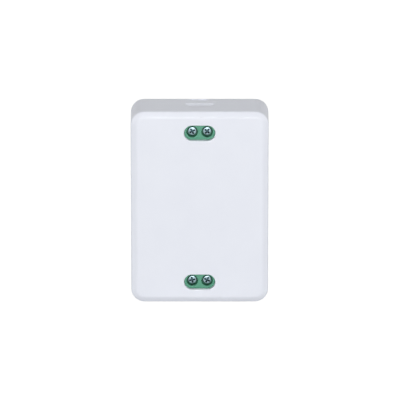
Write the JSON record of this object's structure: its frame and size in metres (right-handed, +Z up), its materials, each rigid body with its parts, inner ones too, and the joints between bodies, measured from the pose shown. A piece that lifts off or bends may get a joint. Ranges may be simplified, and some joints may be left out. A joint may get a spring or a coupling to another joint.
{
  "type": "magnetic door contact",
  "caption": "Surface-mounted wired door contact: rounded push-fit cover over a base with reed switch, tamper switch and screw terminals behind two windows.",
  "frame": {"origin": "centre of the flat back, where the contact lies on its door frame", "axes": "+Z up along the long side, -Y out of the front, +X to the right seen from the front"},
  "size_m": [0.047, 0.0165, 0.068],
  "materials": {
    "cover_plastic": "fine textured white ABS",
    "base_plastic": "plain white ABS",
    "board_laminate": "green solder mask",
    "terminal_plastic": "satin green polyamide",
    "zinc_steel": "bright zinc plate",
    "clamp_steel": "nickel plated steel",
    "tinned_brass": "dull tin plate",
    "reed_glass": "clear, faintly green",
    "reed_metal": "tinned nickel iron",
    "switch_plastic": "black moulded thermoplastic",
    "plunger_plastic": "natural acetal",
    "spring_steel": "drawn spring wire"
  },
  "bodies": {
    "base": {"rear_base": "base_plastic", "snap_catches": "base_plastic", "circuit_board": "board_laminate", "board_screws": "zinc_steel", "terminal_housing_top": "terminal_plastic", "terminal_housing_bottom": "terminal_plastic", "terminal_contacts_top": "tinned_brass", "terminal_contacts_bottom": "tinned_brass", "reed_glass": "reed_glass", "reed_lead_upper": "reed_metal", "reed_lead_lower": "reed_metal", "tamper_body": "switch_plastic", "tamper_spring": "spring_steel", "tamper_contacts": "tinned_brass"},
    "cover": {"front_cover": "cover_plastic"},
    "screw_1": {"terminal_screw_1": "zinc_steel"},
    "screw_2": {"terminal_screw_2": "zinc_steel"},
    "screw_3": {"terminal_screw_3": "zinc_steel"},
    "screw_4": {"terminal_screw_4": "zinc_steel"},
    "clamp_1": {"clamp_cage_1": "clamp_steel"},
    "clamp_2": {"clamp_cage_2": "clamp_steel"},
    "clamp_3": {"clamp_cage_3": "clamp_steel"},
    "clamp_4": {"clamp_cage_4": "clamp_steel"},
    "upper_blade": {"reed_blade_upper": "reed_metal"},
    "lower_blade": {"reed_blade_lower": "reed_metal"},
    "plunger": {"tamper_plunger": "plunger_plastic"}
  },
  "joints": [
    {"name": "cover_lift", "type": "slide", "parent": "base", "child": "cover", "axis": [0, -1, 0], "range_m": [0, 0.025], "deforming": ["snap_catches"]},
    {"name": "plunger_travel", "type": "slide", "parent": "base", "child": "plunger", "axis": [0, -1, 0], "range_m": [0, 0.00075], "deforming": ["tamper_spring"]},
    {"name": "screw_1_turn", "type": "hinge", "parent": "base", "child": "screw_1", "pos_m": [-0.00254, 0, 0.0265], "axis": [0, 1, 0], "range_deg": [0, 1440]},
    {"name": "screw_2_turn", "type": "hinge", "parent": "base", "child": "screw_2", "pos_m": [0.00254, 0, 0.0265], "axis": [0, 1, 0], "range_deg": [0, 1440]},
    {"name": "screw_3_turn", "type": "hinge", "parent": "base", "child": "screw_3", "pos_m": [-0.00254, 0, -0.0265], "axis": [0, 1, 0], "range_deg": [0, 1440]},
    {"name": "screw_4_turn", "type": "hinge", "parent": "base", "child": "screw_4", "pos_m": [0.00254, 0, -0.0265], "axis": [0, 1, 0], "range_deg": [0, 1440]},
    {"name": "clamp_1_rise", "type": "slide", "parent": "base", "child": "clamp_1", "axis": [0, -1, 0], "range_m": [0, 0.0018]},
    {"name": "clamp_2_rise", "type": "slide", "parent": "base", "child": "clamp_2", "axis": [0, -1, 0], "range_m": [0, 0.0018]},
    {"name": "clamp_3_rise", "type": "slide", "parent": "base", "child": "clamp_3", "axis": [0, -1, 0], "range_m": [0, 0.0018]},
    {"name": "clamp_4_rise", "type": "slide", "parent": "base", "child": "clamp_4", "axis": [0, -1, 0], "range_m": [0, 0.0018]},
    {"name": "upper_blade_close", "type": "hinge", "parent": "base", "child": "upper_blade", "pos_m": [-0.0165, -0.0064, 0.00585], "axis": [1, 0, 0], "range_deg": [0, 0.5], "stiffness_Nm_per_rad": 0.002},
    {"name": "lower_blade_close", "type": "hinge", "parent": "base", "child": "lower_blade", "pos_m": [-0.0165, -0.0064, -0.00585], "axis": [1, 0, 0], "range_deg": [0, 0.5]}
  ],
  "couplings": [
    {"joint": "plunger_travel", "follows": "cover_lift", "ratio": 0.03},
    {"joint": "screw_1_turn", "follows": "clamp_1_rise", "rad_per_m": 13963},
    {"joint": "screw_2_turn", "follows": "clamp_2_rise", "rad_per_m": 13963},
    {"joint": "screw_3_turn", "follows": "clamp_3_rise", "rad_per_m": 13963},
    {"joint": "screw_4_turn", "follows": "clamp_4_rise", "rad_per_m": 13963},
    {"joint": "lower_blade_close", "follows": "upper_blade_close", "ratio": 1}
  ]
}
